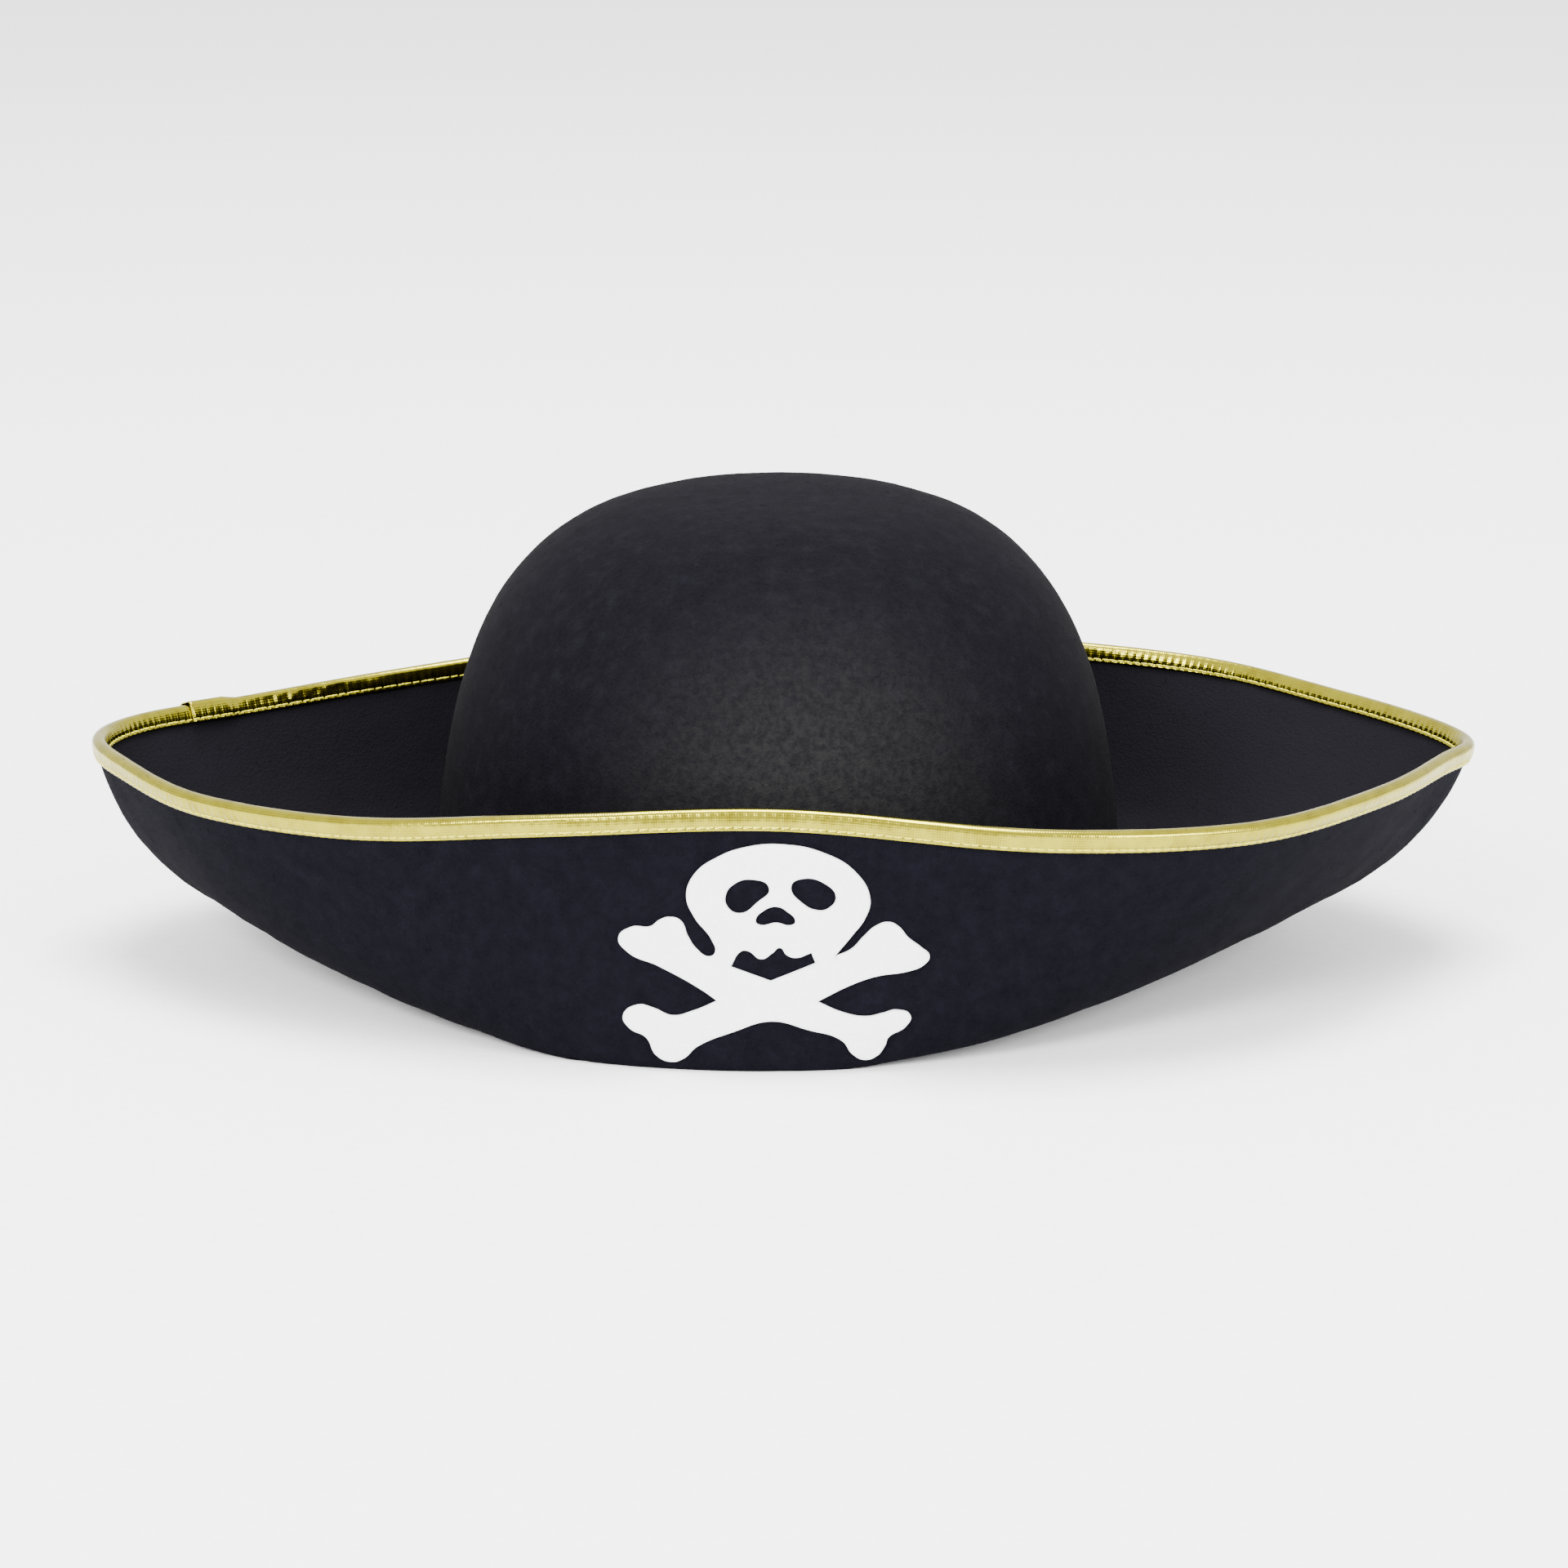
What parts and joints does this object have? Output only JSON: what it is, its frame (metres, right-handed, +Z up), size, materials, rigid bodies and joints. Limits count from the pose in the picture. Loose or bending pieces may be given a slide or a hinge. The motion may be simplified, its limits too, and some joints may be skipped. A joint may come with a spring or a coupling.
{
  "type": "pirate costume hat",
  "caption": "Black felt pirate hat with a round crown, a brim turned up front and back, a gold edge binding and a white skull and crossbones on the front.",
  "frame": {"origin": "under the middle of the hat, at the height of the surface it stands on", "axes": "+Z up, the front of the hat faces -Y, the two points of the brim lie along X"},
  "size_m": [0.3602, 0.2184, 0.1212],
  "materials": {
    "black_felt": "matt pressed felt with a short fuzz, near black with a cool cast",
    "gold_lame": "shiny woven metallic bias tape, pale gold",
    "gold_thread": "yellow-gold sewing thread",
    "white_felt": "smooth white die-cut felt",
    "black_ribbon": "black ribbed ribbon with a slight sheen",
    "black_thread": "black sewing thread",
    "white_satin": "blank off-white satin label"
  },
  "bodies": {
    "hat": {"crown": "black_felt", "brim": "black_felt", "edge_binding": "gold_lame", "binding_stitch_outer": "gold_thread", "binding_stitch_inner": "gold_thread", "skull_applique": "white_felt", "sweatband": "black_ribbon", "sweatband_stitch": "black_thread", "head_seam_stitch": "black_thread", "front_tack_thread": "black_thread", "back_tack_thread": "black_thread"},
    "label": {"care_label": "white_satin", "label_stitch": "white_satin"}
  },
  "joints": [
    {"name": "label_hinge", "type": "hinge", "parent": "hat", "child": "label", "pos_m": [-0.0015, 0.09232, 0.0266], "axis": [-1, 0, 0], "range_deg": [0, 150]}
  ]
}
